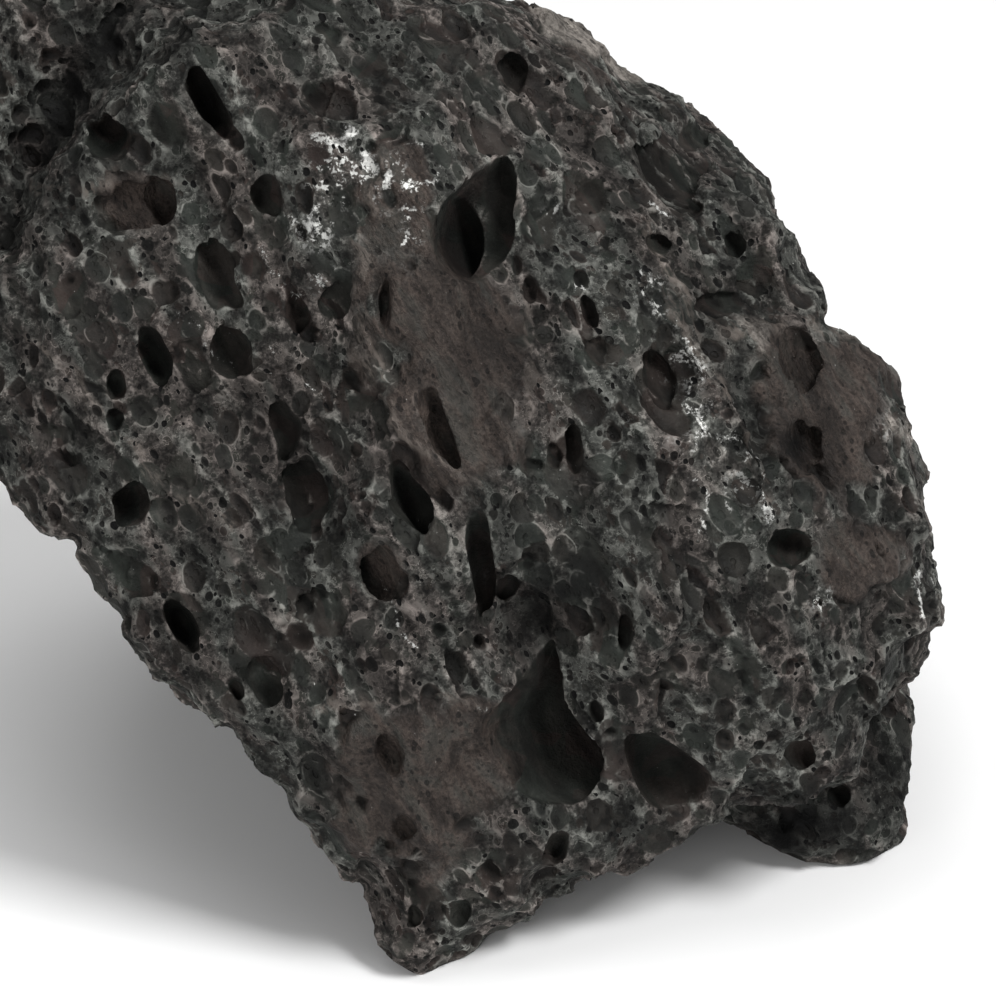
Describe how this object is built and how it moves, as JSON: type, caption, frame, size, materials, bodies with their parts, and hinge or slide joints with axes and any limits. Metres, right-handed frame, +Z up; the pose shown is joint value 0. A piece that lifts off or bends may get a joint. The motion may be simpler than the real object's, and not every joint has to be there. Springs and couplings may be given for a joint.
{
  "type": "lava rock",
  "caption": "Lump of dark vesicular lava with broken faces, a raised crest, deep gas hollows and a low side lobe, which rests on a small flat underneath.",
  "frame": {"origin": "middle of the rock's footprint, on the ground it rests on", "axes": "+Z up, +X along the rock's longest side to the right of its main face, -Y towards the side that the main face looks to"},
  "size_m": [0.2098, 0.1743, 0.1737],
  "materials": {
    "dark_lava": "matte"
  },
  "bodies": {
    "root": {"lava_rock": "dark_lava"}
  },
  "joints": []
}
